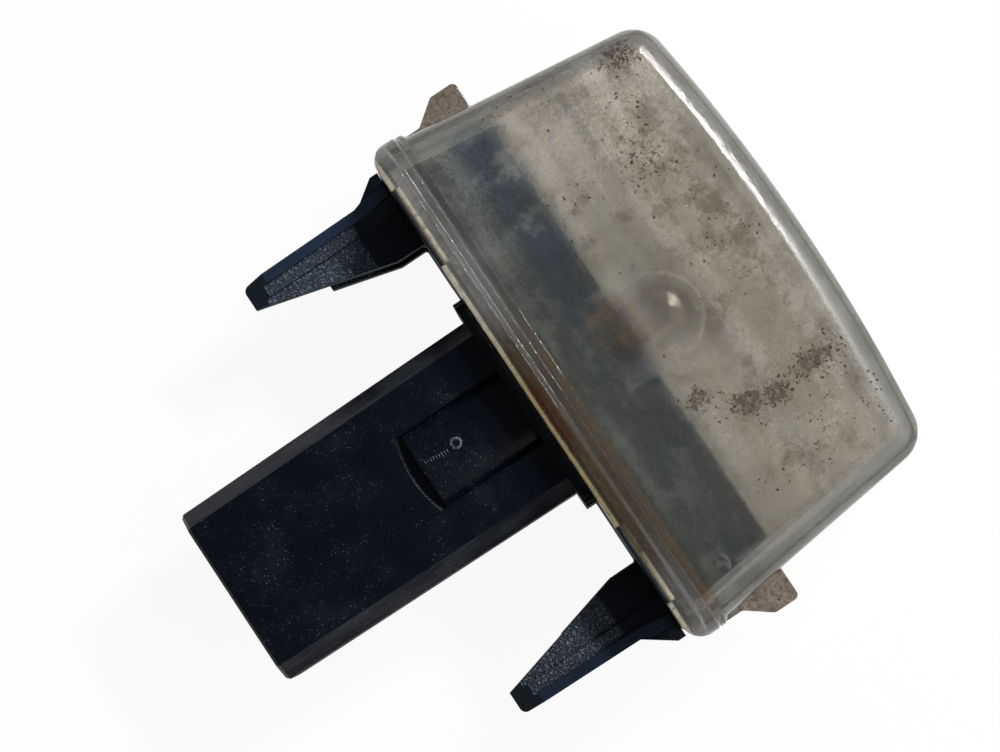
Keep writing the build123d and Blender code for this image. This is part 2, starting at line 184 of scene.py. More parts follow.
class LampStageLook(bpy.types.PropertyGroup):
    """Camera, lamps and floor."""

    camera_place: FloatVectorProperty(name="Camera place", description="Where the camera stands", subtype="XYZ",
                                      unit="LENGTH", default=(-0.01523, 0.00387, 0.28331))
    camera_target: FloatVectorProperty(name="Camera target", description="What the camera looks at",
                                       subtype="XYZ", unit="LENGTH", default=(0.00420, 0.00109, 0.0))
    camera_turn: FloatProperty(name="Camera turn", description="Turn of the camera's upright about its axis",
                               default=-0.5876, subtype="ANGLE")
    focal: FloatProperty(name="Focal length", description="Focal length on a 36 mm sensor", default=97.09)
    floor_size: length("Floor", "Side of the floor", 6.0)
    floor_glow: FloatProperty(name="Floor glow", description="Share of the floor's white that needs no lamp",
                              default=0.93, min=0, max=1, subtype="FACTOR")
    world: FloatProperty(name="Room light", description="Strength of the light all round", default=0.11, min=0)


class Shader:
    """A material and short names for the nodes that make up its pattern."""

    def __init__(self, name):
        self.material = bpy.data.materials.new(name)
        self.material.use_nodes = True
        self.tree = self.material.node_tree
        self.tree.nodes.clear()
        self.output = self.add("ShaderNodeOutputMaterial")
        place = self.add("ShaderNodeTexCoord").outputs["Object"]
        self.place = self.vector("SCALE", place, scale=1 / MM)
        parts = self.add("ShaderNodeSeparateXYZ")
        self.link(self.place, parts.inputs[0])
        self.x, self.y, self.z = parts.outputs
        facing = self.add("ShaderNodeSeparateXYZ")
        self.link(self.add("ShaderNodeNewGeometry").outputs["Normal"], facing.inputs[0])
        self.nx, self.ny, self.nz = facing.outputs

    def add(self, kind, **settings):
        node = self.tree.nodes.new(kind)
        for key, value in settings.items():
            setattr(node, key, value)
        return node

    def link(self, value, socket):
        """Joins an output to a socket, or sets a plain value on it."""
        if isinstance(value, bpy.types.NodeSocket):
            self.tree.links.new(value, socket)
        elif isinstance(value, (tuple, list)) or hasattr(value, "foreach_get") or hasattr(value, "r"):
            value = tuple(value)
            socket.default_value = value + (1.0,) * (len(socket.default_value) - len(value))
        else:
            socket.default_value = value

    def vector(self, operation, *values, scale=None):
        node = self.add("ShaderNodeVectorMath", operation=operation)
        for value, socket in zip(values, node.inputs):
            self.link(value, socket)
        if scale is not None:
            node.inputs["Scale"].default_value = scale
        return node.outputs["Value" if operation in ("LENGTH", "DISTANCE") else "Vector"]

    def math(self, operation, *values, clamp=False):
        node = self.add("ShaderNodeMath", operation=operation, use_clamp=clamp)
        for value, socket in zip(values, node.inputs):
            self.link(value, socket)
        return node.outputs[0]

    def times(self, *values):
        result = values[0]
        for value in values[1:]:
            result = self.math("MULTIPLY", result, value)
        return result

    def plus(self, *values):
        result = values[0]
        for value in values[1:]:
            result = self.math("ADD", result, value)
        return result

    def most(self, *values):
        result = values[0]
        for value in values[1:]:
            result = self.math("MAXIMUM", result, value)
        return result

    def size(self, value):
        return self.math("ABSOLUTE", value)

    def rise(self, value, low, high, start=0.0, end=1.0):
        """A soft step from start to end as the value goes from low to high."""
        node = self.add("ShaderNodeMapRange", interpolation_type="SMOOTHSTEP")
        for item, socket in zip((value, low, high, start, end), node.inputs):
            self.link(item, socket)
        return node.outputs[0]

    def band(self, value, low, high, soft):
        """One between low and high, with soft edges."""
        above = self.rise(value, low - soft, low + soft)
        return self.times(above, self.rise(value, high - soft, high + soft, 1, 0))

    def without(self, value):
        """One where the value is nothing, and nothing where it is one."""
        return self.rise(value, 0, 1, 1, 0)

    def spot(self, middle, reach, soft=0.5):
        """One round a middle point, fading to nothing at its reach along each axis."""
        shifted = self.vector("SUBTRACT", self.place, middle)
        away = self.vector("LENGTH", self.vector("DIVIDE", shifted, reach))
        return self.rise(away, 1 - soft, 1, 1, 0)

    def noise(self, scale, detail=2.0, rough=0.5, stretch=(1, 1, 1), warp=0.0, shift=(0, 0, 0)):
        where = self.vector("MULTIPLY_ADD", self.place, stretch, shift)
        node = self.add("ShaderNodeTexNoise")
        self.link(where, node.inputs["Vector"])
        for name, value in (("Scale", scale), ("Detail", detail), ("Roughness", rough), ("Distortion", warp)):
            node.inputs[name].default_value = value
        return node.outputs["Fac"]

    def cells(self, scale):
        """The distance to the nearest of many scattered points."""
        node = self.add("ShaderNodeTexVoronoi")
        self.link(self.place, node.inputs["Vector"])
        node.inputs["Scale"].default_value = scale
        return node.outputs["Distance"]

    def blend(self, factor, first, second):
        """A colour between two colours."""
        node = self.add("ShaderNodeMix", data_type="RGBA")
        self.link(factor, node.inputs["Factor"])
        self.link(first, node.inputs[6])
        self.link(second, node.inputs[7])
        return node.outputs[2]

    def bump(self, height, distance, strength=1.0, normal=None):
        node = self.add("ShaderNodeBump")
        node.inputs["Strength"].default_value = strength
        node.inputs["Distance"].default_value = distance
        self.link(height, node.inputs["Height"])
        if normal is not None:
            self.link(normal, node.inputs["Normal"])
        return node.outputs[0]

    def eased(self, radius):
        """The surface's normal with its edges rounded off."""
        node = self.add("ShaderNodeBevel", samples=8)
        node.inputs["Radius"].default_value = radius
        return node.outputs[0]

    def surface(self, **values):
        """The main shader, with its sockets set or linked by name."""
        node = self.add("ShaderNodeBsdfPrincipled")
        for name, value in values.items():
            self.link(value, node.inputs[name.replace("_", " ").title().replace("Ior", "IOR")])
        return node.outputs[0]

    def show(self, shader):
        self.link(shader, self.output.inputs["Surface"])
        return self.material

    def lit_through(self, shader, share):
        """Lets the lamps' light through to what lies behind."""
        clear = self.add("ShaderNodeBsdfTransparent")
        clear.inputs["Color"].default_value = (share, share, share, 1)
        mix = self.add("ShaderNodeMixShader")
        self.link(self.add("ShaderNodeLightPath").outputs["Is Shadow Ray"], mix.inputs[0])
        self.link(shader, mix.inputs[1])
        self.link(clear.outputs[0], mix.inputs[2])
        return mix.outputs[0]


def dress(node, material):
    """Gives a node of the frame its finished material."""
    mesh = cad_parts[node].data
    mesh.materials.clear()
    mesh.materials.append(material)


def lens_material(look):
    """Clear plastic under a dried film, with specks, rim dirt and a cream lip."""
    s = Shader("hazed_lens")
    across = s.size(s.z)
    along = s.size(s.x)
    past_end = s.math("SUBTRACT", along, s.math("MULTIPLY_ADD", s.y, END_TAPER, END_LINE))
    front = s.math("SUBTRACT", s.y, s.times(s.x, s.x, 1 / FRONT_BOW))
    outer = s.most(s.rise(across, 10.6, 11.0), s.rise(past_end, 0.0, 0.4),
                   s.rise(front, -32.4, -31.9, 1, 0))
    flat = s.rise(s.size(s.nz), 0.965, 0.995, 0.45, 1.0)
    far = s.rise(s.z, -9.0, -8.0, 1, 0)
    rim = s.rise(s.y, -3.5, -3.3)
    lug = s.times(s.rise(past_end, 1.15, 1.40), s.rise(s.y, -6.2, -5.9, 1, 0))
    # the film lies in clouds and in streaks along the lamp, thinner before the bulb
    cloud = s.noise(0.13, 5, 0.60, warp=0.5)
    mottle = s.noise(0.40, 6, 0.68, warp=0.15, shift=(9, 4, 0))
    fine = s.noise(2.2, 5, 0.75)
    grit = s.noise(6.5, 3, 0.70, shift=(2, 1, 4))
    streak = s.noise(0.30, 3, 0.50, stretch=(0.12, 1, 0.2), shift=(0, 5, 0))
    window = s.spot((5.0, -16.4, NEAR_SIDE), (16.0, 4.2, 4.0), 0.9)
    film = s.plus(s.times(cloud, 0.30), s.times(fine, 0.25), s.times(streak, 0.45))
    film = s.times(s.rise(film, 0.38, 0.62, 0.25, 2.00), s.rise(window, 0, 1, 1.0, 0.50),
                   s.rise(grit, 0.30, 0.70, 0.65, 1.35), s.rise(s.y, -22.0, -17.0, 1.30, 0.95),
                   s.rise(s.x, 6.0, 22.0, 1.06, 1.80), s.rise(s.x, -24.0, -14.0, 0.60, 1.0))
    strokes = s.noise(0.50, 2, 0.5, stretch=(0.06, 1, 0.1), shift=(3, 0, 0))
    wiped = s.times(s.rise(strokes, 0.50, 0.62), outer, flat, s.band(s.y, -22.5, -14.0, 1.5),
                    s.rise(mottle, 0.30, 0.60, 0.4, 1.0))
    film = s.plus(film, s.times(wiped, 0.45))
    # green silt lies beside the rim, and the tub and the brass show through a thin film
    silt = s.times(s.band(s.y, -7.6, -3.8, 1.3), outer, flat,
                   s.rise(s.plus(s.times(mottle, 0.6), s.times(grit, 0.4)), 0.36, 0.62))
    blot = s.plus(s.noise(0.22, 5, 0.65, warp=0.4, shift=(5, 1, 0)), s.times(s.rise(s.x, -20.0, 14.0), 0.16))
    clean = s.spot((0.6, -18.0, NEAR_SIDE), (7.0, 5.5, 4.0), 0.8)
    brassy = s.times(s.band(s.x, -1.4, 3.6, 1.6), s.band(s.y, -13.0, -8.6, 1.3), outer, flat,
                     s.rise(s.plus(s.times(mottle, 0.6), s.times(grit, 0.4)), 0.34, 0.58, 0.35, 1.0))
    # painted shade darkens the film over the socket's notch
    shaded = s.spot((-4.0, -11.6, NEAR_SIDE), (3.4, 2.4, 4.0), 0.8)
    navy = s.times(s.band(s.y, -12.4, -7.2, 1.6), s.rise(s.plus(blot, s.times(shaded, 0.2)), 0.46, 0.66),
                   s.rise(brassy, 0, 1, 1, 0.1), outer, flat)
    reach = s.plus(0.15, s.times(outer, flat, 0.85), s.times(far, outer, 0.5))
    thin = s.times(s.rise(navy, 0, 1, 1.0, 0.60), s.rise(s.band(s.y, -12.5, -4.0, 1.0), 0, 1, 1.0, 0.75),
                   s.rise(clean, 0, 1, 1.0, 0.50))
    cover = s.plus(s.times(film, look.haze, reach, thin), s.times(silt, 0.13),
                   s.times(shaded, outer, flat, 0.06), s.times(brassy, 0.10))
    # crusts and specks gather at the front corner, along one end and in a chain near the front
    spots = [s.times(s.spot(middle, reach_out, soft), share) for middle, reach_out, soft, share in CRUST_SPOTS]
    gather = s.most(*spots, s.times(s.rise(s.noise(0.09, 3, 0.6, shift=(7, 3, 1)), 0.5, 0.72), 0.35))
    heap = s.plus(s.noise(1.5, 6, 0.80, warp=0.2, shift=(3, 0, 5)), s.times(gather, 0.24))
    crust = s.times(s.rise(heap, 0.64, 0.78), outer, flat, 0.62)
    specks = s.times(s.rise(heap, 0.79, 0.85), outer)
    pits = s.times(s.rise(s.cells(0.45), 0.05, 0.09, 1, 0), s.rise(s.noise(0.2, 2), 0.50, 0.62), outer)
    dark = s.times(s.most(specks, s.times(pits, 0.8)), 0.85)
    swept = s.spot((4.0, -25.5, NEAR_SIDE), (20.0, 4.5, 3.0), 1.0)
    thick = s.plus(mottle, s.times(gather, 0.10), s.times(swept, 0.12), s.times(streak, 0.25))
    tan = s.times(s.rise(thick, 0.56, 1.00), s.rise(grit, 0.30, 0.70, 0.65, 1.30), outer, flat,
                  s.rise(s.y, -13.0, -8.0, 0.60, 0.15), s.rise(s.x, 6.0, 20.0, 1.0, 0.70))
    edge = s.times(s.rise(s.size(s.nz), 0.90, 0.985, 1, 0), outer, s.rise(s.y, -4.5, -3.8, 0.24, 0.0),
                   s.rise(s.plus(s.times(cloud, 0.5), s.times(mottle, 0.5)), 0.40, 0.60, 0.60, 1.35))
    # mud and rust lie in the rim's steps, its lip is worn to cream, and the raised bars beside the lip take the
    # same cream as a painted highlight
    middle = s.rise(s.size(s.math("ADD", s.x, 7.0)), 6.0, 20.0, 1, 0)
    wear = s.noise(2.4, 6, 0.75, stretch=(0.45, 1, 1), shift=(4, 2, 0))
    crack = s.rise(s.noise(2.2, 2, 0.6, stretch=(1, 0.05, 0.05), shift=(0, 7, 0)), 0.60, 0.68, 1.0, 0.60)
    painted_bead_highlight = s.times(s.band(along, 15.9, 24.9, 0.1), s.rise(s.y, -1.05, -0.95), s.rise(across, 12.7, 12.8))
    lip = s.most(s.times(s.rise(s.y, -0.55, -0.45), outer), painted_bead_highlight)
    groove = s.times(rim, s.without(lip), outer)
    mud = s.times(s.band(s.y, -2.05, -0.45, 0.2), middle, s.rise(wear, 0.30, 0.62, 0.30, 0.80), outer)
    rust = s.times(s.band(s.y, -1.6, -0.35, 0.25), s.rise(s.size(s.math("ADD", s.x, 3.0)), 3.0, 6.5, 1, 0),
                   s.rise(wear, 0.34, 0.60, 0.10, 0.85), outer)
    stain = s.times(s.band(s.y, -4.5, -3.0, 0.7), s.rise(s.x, 0.0, 16.0, 1.0, 0.15),
                    s.rise(wear, 0.32, 0.68, 0.10, 0.50), outer)
    seam = s.times(s.most(s.band(s.y, -2.50, -2.36, 0.06), s.band(s.y, -3.45, -3.30, 0.08)),
                   s.rise(wear, 0.30, 0.60, 0.2, 0.7), s.plus(0.3, s.times(middle, 0.7)), outer)
    worn = s.times(lip, s.rise(wear, 0.28, 0.55, 0.35, 0.90), crack)
    loam = s.times(lug, s.rise(mottle, 0.30, 0.70, 0.35, 0.80))
    lining = s.times(groove, s.rise(wear, 0.25, 0.7, 0.12, 0.34))
    cover = s.most(cover, edge, lining, worn, mud, rust, tan, crust, stain, seam, loam)
    cover = s.math("MAXIMUM", cover, dark, clamp=True)
    shade = s.blend(cloud, tuple(c * 0.85 for c in look.film), tuple(min(1, c * 1.15) for c in look.film))
    shade = s.blend(s.most(s.times(window, 0.7), s.times(wiped, 0.6)), shade, WIPED_FILM)
    cool = s.rise(s.plus(s.y, s.times(cloud, 6.0)), -11.0, -7.0)
    shade = s.blend(s.times(cool, 0.9), shade, look.slate)
    shade = s.blend(s.times(navy, 0.85), shade, NAVY_TUB)
    shade = s.blend(s.times(silt, 0.8), shade, GREEN_SILT)
    metal = s.blend(s.rise(mottle, 0.42, 0.62), DULL_BRASS, WARM_BRASS)
    shade = s.blend(s.times(brassy, 0.8), shade, metal)
    shade = s.blend(s.rise(edge, 0.0, 0.2), shade, SIDE_VEIL)
    shade = s.blend(s.rise(tan, 0.0, 0.5), shade, look.tan)
    shade = s.blend(s.rise(crust, 0.0, 0.35), shade, CRUST)
    shade = s.blend(groove, shade, s.blend(middle, PALE_GROOVE, BROWN_GROOVE))
    shade = s.blend(s.rise(worn, 0.0, 0.5), shade, s.blend(middle, look.cream, BROWN_LIP))
    shade = s.blend(s.rise(stain, 0.0, 0.4), shade, RIM_STAIN)
    shade = s.blend(s.rise(s.most(mud, seam), 0.05, 0.5), shade, RIM_MUD)
    shade = s.blend(s.rise(rust, 0.1, 0.8), shade, look.rust)
    soil = s.blend(s.rise(fine, 0.35, 0.65), DARK_SOIL, PALE_SOIL)
    shade = s.blend(s.rise(loam, 0.0, 0.3), shade, soil)
    shade = s.blend(s.rise(dark, 0.0, 0.6), shade, look.grime)
    tint = s.blend(s.rise(cover, 0.02, 0.12), look.clear, shade)
    clearness = s.math("SUBTRACT", 1.0, cover, clamp=True)
    gloss = s.rise(s.plus(fine, s.times(cloud, 0.5)), 0.5, 1.0, 0.02, 0.08)
    shine = s.times(s.rise(s.size(s.nz), 0.965, 0.999), outer, s.rise(s.y, -3.9, -3.6, 1, 0))
    # the inside is blurred by its own haze, least before the bulb
    heart = s.spot((0.4, -18.5, 0.0), (16.0, 10.5, 60.0), 1.0)
    steep = s.rise(s.size(s.nz), 0.3, 0.7, 1, 0)
    fog = s.rise(s.math("SUBTRACT", heart, steep), 0.0, 1.0, 0.46, 0.03)
    rough = s.plus(s.times(fog, s.without(outer)), s.times(outer, 0.05), s.times(gloss, shine),
                   s.times(dark, 0.35), s.times(rim, outer, 0.04))
    # grit breaks up the shine along the front edge
    scuff = s.times(s.band(s.size(s.nz), 0.30, 0.97, 0.1), outer, s.rise(front, -27.0, -24.0, 1, 0))
    rough = s.plus(rough, s.times(scuff, s.rise(grit, 0.40, 0.60, 0.0, 0.07)),
                   s.times(scuff, s.rise(s.x, -12.0, 6.0, 0.45, 0.0)))
    relief = s.plus(s.times(dark, 0.5), s.times(crust, 0.3), s.times(fine, 0.12), s.times(grit, 0.08),
                    s.times(cloud, 0.12), s.times(grit, scuff, 1.3))
    relief = s.times(relief, s.without(rim))
    shader = s.surface(base_color=tint, roughness=rough, transmission_weight=clearness, ior=1.49,
                       normal=s.bump(relief, 0.00005, 0.5, normal=s.eased(0.00022)))
    depth = s.add("ShaderNodeVolumeAbsorption")
    s.link(look.smoke, depth.inputs["Color"])
    s.link(look.depth, depth.inputs["Density"])
    s.link(depth.outputs[0], s.output.inputs["Volume"])
    return s.show(s.lit_through(shader, 0.80))


def housing_material(look):
    """Black moulded plastic with fine dust, painted glints on the webs and a painted sheen on the smooth
    spines.
    """
    s = Shader("black_housing")
    broad_side = s.size(s.nz)
    wing = s.times(s.rise(s.size(s.x), 15.0, 15.6), s.rise(s.y, 0.2, 0.6))
    inside = s.rise(s.y, -0.3, 0.1, 1, 0)
    # dust is left off near the rim, so the housing's root stays dark as a painted shadow of the rim
    behind = s.rise(s.y, 5.2, 6.4)
    fine = s.noise(5.0, 3, 0.6)
    spark = s.noise(3.8, 2, 0.8, warp=0.4)
    raised = s.rise(s.size(s.z), 4.1, 4.2)
    web = s.times(wing, s.rise(s.y, 5.2, 5.5), s.rise(broad_side, 0.9, 0.97), s.without(raised))
    spine = s.times(wing, raised)
    broad = s.noise(0.10, 4, 0.6)
    patch = s.noise(0.24, 4, 0.65, shift=(2, 6, 0))
    bevel = s.times(s.rise(s.size(s.nx), 0.35, 0.55), s.rise(broad_side, 0.35, 0.55))
    smear = s.noise(0.35, 4, 0.65, stretch=(1, 0.25, 1))
    round_latch = s.times(s.spot((0.0, 11.0, 6.2), (9.5, 7.0, 4.0), 0.8), s.rise(s.size(s.x), 4.6, 5.4))
    settled = s.plus(patch, s.times(round_latch, 0.16))
    # the veil is dust on the broad faces, and it also lifts them as painted light
    dust_and_light_veil = s.times(behind, s.rise(broad_side, 0.6, 0.9), s.rise(settled, 0.44, 0.80, 0.0, 0.022))
    dusty = s.times(bevel, s.rise(smear, 0.36, 0.66), behind, 0.075)
    strewn = s.plus(patch, s.times(fine, 0.4), s.times(round_latch, 0.08))
    motes = s.times(s.rise(s.cells(3.0), 0.10, 0.20, 1, 0), s.rise(strewn, 0.63, 0.88), behind)
    # the webs' glints are painted highlights in the dust colour
    glints = s.times(web, s.plus(s.rise(spark, 0.56, 0.68, 0.0, 0.62), 0.012))
    pale = s.most(dusty, dust_and_light_veil, s.times(motes, 0.45), glints)
    # the spine colour is a painted sheen on the wings' smooth backs; the +X wing is painted paler, as if lit
    # more, and its tip and sunken faces take part of that painted sheen
    paler = s.rise(s.x, -10.0, 10.0, 0.45, 1.0)
    base = s.blend(s.times(spine, paler, s.rise(broad, 0.3, 0.7, 0.6, 1.0)), look.plastic, look.spine)
    sunken = s.times(wing, s.without(spine))
    tip = s.times(sunken, s.rise(s.y, 15.8, 16.2))
    base = s.blend(s.times(paler, s.most(s.times(tip, 0.5), s.times(sunken, 0.16))), base, look.spine)
    # painted sheen on the webs, stronger on the +X wing
    base = s.blend(s.times(web, s.rise(s.x, -10.0, 10.0, 0.30, 0.50)), base, PAINTED_WEB_SHEEN)
    base = s.blend(pale, base, look.dust)
    rough = s.plus(s.rise(fine, 0.3, 0.7, 0.18, 0.28), s.times(inside, 0.25), s.times(broad, 0.08))
    root = s.times(s.rise(s.y, 0.0, 0.4), s.rise(s.y, 3.5, 4.5, 1, 0), s.rise(s.size(s.x), 12.0, 13.0, 1, 0))
    rough = s.math("SUBTRACT", rough, s.times(root, 0.12), clamp=True)
    rough = s.math("ADD", rough, s.rise(broad_side, 0.15, 0.45, 0.45, 0.0), clamp=True)
    relief = s.plus(s.times(fine, 0.25), s.times(spark, web, 2.4))
    shader = s.surface(base_color=base, roughness=rough, ior=1.45, specular_ior_level=0.24,
                       normal=s.bump(relief, 0.00012, 0.55, normal=s.eased(0.00016)))
    return s.show(shader)


def brass_material(look):
    """Stamped brass, stained and scratched along the strip."""
    s = Shader("tarnished_brass")
    stain = s.rise(s.noise(0.55, 5, 0.65, warp=0.6), 0.38, 0.66)
    draw = s.noise(2.0, 3, 0.6, stretch=(6, 0.3, 6))
    base = s.blend(s.times(stain, 0.85), look.brass, look.tarnish)
    rough = s.plus(s.rise(draw, 0.3, 0.7, 0.24, 0.42), s.times(stain, 0.22))
    shader = s.surface(base_color=base, metallic=s.rise(stain, 0.2, 1.0, 1.0, 0.55), roughness=rough,
                       normal=s.bump(s.plus(draw, s.times(stain, 0.5)), 0.00003, 0.4, normal=s.eased(0.00012)))
    return s.show(shader)


def wire_material(look):
    """Drawn lead wire, dulled in patches."""
    s = Shader("lead_wire")
    dull = s.noise(1.8, 4, 0.6)
    base = s.blend(s.rise(dull, 0.4, 0.65, 0.0, 0.7), look.wire, tuple(c * 0.35 for c in look.wire))
    shader = s.surface(base_color=base, metallic=1.0, roughness=s.rise(dull, 0.3, 0.7, 0.25, 0.5),
                       normal=s.bump(s.noise(6.0, 2, 0.5, stretch=(1, 0.1, 1)), 0.00002, 0.3))
    return s.show(shader)


def bulb_material():
    """Clear bulb glass with a faint warm smoke inside its round end."""
    s = Shader("bulb_glass")
    wave = s.noise(0.20, 2, 0.5)
    smoke = s.times(s.rise(s.y, -21.5, -15.0, 1, 0), s.rise(wave, 0.35, 0.7, 0.3, 0.5))
    tint = s.blend(smoke, (0.74, 0.715, 0.665), (0.64, 0.59, 0.52))
    shader = s.surface(base_color=tint, roughness=s.rise(wave, 0.3, 0.7, 0.04, 0.07), transmission_weight=0.95,
                       ior=1.52, coat_weight=1.0, coat_ior=2.2, sheen_weight=0.5)
    return s.show(s.lit_through(shader, 0.9))


def tungsten_material():
    """Dark drawn tungsten with a blue heat stain."""
    s = Shader("tungsten")
    heat = s.noise(2.5, 3, 0.6)
    base = s.blend(s.rise(heat, 0.35, 0.65), (0.22, 0.22, 0.24), (0.10, 0.11, 0.16))
    shader = s.surface(base_color=base, metallic=1.0, roughness=s.rise(heat, 0.3, 0.7, 0.28, 0.48))
    return s.show(shader)


def scuffed_material(look):
    """Black plastic scraped pale, for the marks on the latch ramp."""
    s = Shader("scuffed_plastic")
    scrape = s.noise(4.0, 4, 0.7)
    base = s.blend(s.rise(scrape, 0.42, 0.66, 0.03, 0.50), look.plastic, look.dust)
    shader = s.surface(base_color=base, roughness=s.rise(scrape, 0.3, 0.7, 0.30, 0.60),
                       normal=s.bump(scrape, 0.00004, 0.6))
    return s.show(shader)


def flake_material(look):
    """Dried brown dirt in random tones, with painted shade in the hollows of its bump."""
    s = Shader("dried_dirt")
    crumb = s.noise(6.0, 3, 0.7)
    lay = s.noise(0.6, 2, 0.5)
    base = s.blend(s.rise(s.plus(s.times(crumb, 0.5), s.times(lay, 0.5)), 0.40, 0.62), look.grime,
                   tuple(c * f for c, f in zip(look.tan, (0.55, 0.52, 0.45))))
    shader = s.surface(base_color=base, roughness=s.rise(crumb, 0.3, 0.7, 0.70, 0.95), specular_ior_level=0.12,
                       normal=s.bump(crumb, 0.00003, 0.5))
    return s.show(shader)


def drop_material():
    """A milky dried drop with a paler edge."""
    s = Shader("dried_drop")
    chalk = s.noise(1.6, 3, 0.5)
    base = s.blend(s.rise(chalk, 0.35, 0.65), (0.085, 0.090, 0.085), (0.125, 0.130, 0.120))
    shader = s.surface(base_color=base, roughness=s.rise(chalk, 0.3, 0.7, 0.20, 0.40), ior=1.4,
                       transmission_weight=s.rise(chalk, 0.3, 0.7, 0.50, 0.35))
    return s.show(s.lit_through(shader, 0.85))


# Patches of dirt on the near side of the lens: middle, reach along and across, and share of a full patch
DIRT_PATCHES = (
    (24.3, -27.4, 2.2, 1.6, 1.3),
    (26.3, -17.0, 1.6, 9.0, 0.8),
    (20.0, -24.0, 5.0, 4.5, 0.8),
    (12.5, -23.5, 6.0, 4.5, 1.1),
    (13.5, -16.0, 3.5, 3.0, 0.5),
    (2.5, -26.0, 7.0, 4.0, 0.7),
    (-9.4, -13.8, 1.6, 1.8, 0.7),
    (-11.6, -16.4, 1.8, 1.8, 0.8),
    (-13.6, -19.2, 2.2, 2.4, 1.4),
    (-13.2, -22.6, 1.8, 2.6, 1.1),
    (-12.8, -26.0, 1.8, 2.6, 1.1),
    (-13.2, -29.0, 2.0, 1.4, 0.7),
    (-18.0, -24.0, 3.0, 3.5, 0.6),
    (-20.0, -29.0, 3.0, 1.6, 0.5),
    (-20.5, -17.0, 4.0, 5.0, 0.5),
    (0.0, -17.0, 24.0, 13.0, 0.9),
)


class LampPiece:
    """Steps that every operator of this lamp shares."""

    bl_options = {"REGISTER", "UNDO"}

    def clear_selection(self):
        if bpy.context.object and bpy.context.object.mode != "OBJECT":
            bpy.ops.object.mode_set(mode="OBJECT")
        bpy.ops.object.select_all(action="DESELECT")

    def pick(self, piece, wanted):
        """Selects the faces of a piece in edit mode that a test picks out."""
        bpy.ops.object.mode_set(mode="OBJECT")
        for vertex in piece.data.vertices:
            vertex.select = False
        for edge in piece.data.edges:
            edge.select = False
        for face in piece.data.polygons:
            face.select = wanted(face)
        bpy.ops.object.mode_set(mode="EDIT")
        bpy.ops.mesh.select_mode(type="FACE")

    def rest(self, node, x, y, strict=True):
        """The place on a node's upper side at x and y, and the way that it faces there."""
        hit, place, normal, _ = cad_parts[node].ray_cast(Vector((x, y, 0.05)), Vector((0, 0, -1)))
        if not hit and strict:
            raise RuntimeError(f"nothing of {node} lies at {x}, {y}")
        return (place, normal) if hit else (None, None)

    def join(self, pieces):
        """Makes one piece of several."""
        self.clear_selection()
        for piece in pieces:
            piece.select_set(True)
        bpy.context.view_layer.objects.active = pieces[0]
        bpy.ops.object.join()
        return bpy.context.object

    def keep(self, piece, name, slot, material, *nodes):
        """Names a finished piece, seats it on the lamp and gives it its finish."""
        piece.name = piece.data.name = name
        piece.data.materials.clear()
        piece.data.materials.append(material)
        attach(piece, "root")
        if nodes:
            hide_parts(*nodes)


class LAMP_OT_lens(LampPiece, bpy.types.Operator):
    """Finishes the clear lens with its film, specks and rim dirt"""

    bl_idname = "lamp.lens"
    bl_label = "Hazed lens"

    def execute(self, context):
        dress("lens", lens_material(context.scene.lamp_lens))
        return {"FINISHED"}


class LAMP_OT_housing(LampPiece, bpy.types.Operator):
    """Finishes the black housing"""

    bl_idname = "lamp.housing"
    bl_label = "Black housing"

    def execute(self, context):
        dress("housing", housing_material(context.scene.lamp_housing))
        return {"FINISHED"}


class LAMP_OT_contacts(LampPiece, bpy.types.Operator):
    """Finishes the two brass contacts and the bulb's lead wires"""

    bl_idname = "lamp.contacts"
    bl_label = "Contacts and wires"

    def execute(self, context):
        brass = brass_material(context.scene.lamp_housing)
        wire = wire_material(context.scene.lamp_housing)
        for node in ("contact_near", "contact_far"):
            dress(node, brass)
        for node in ("lead_wire_near", "lead_wire_far"):
            dress(node, wire)
        return {"FINISHED"}


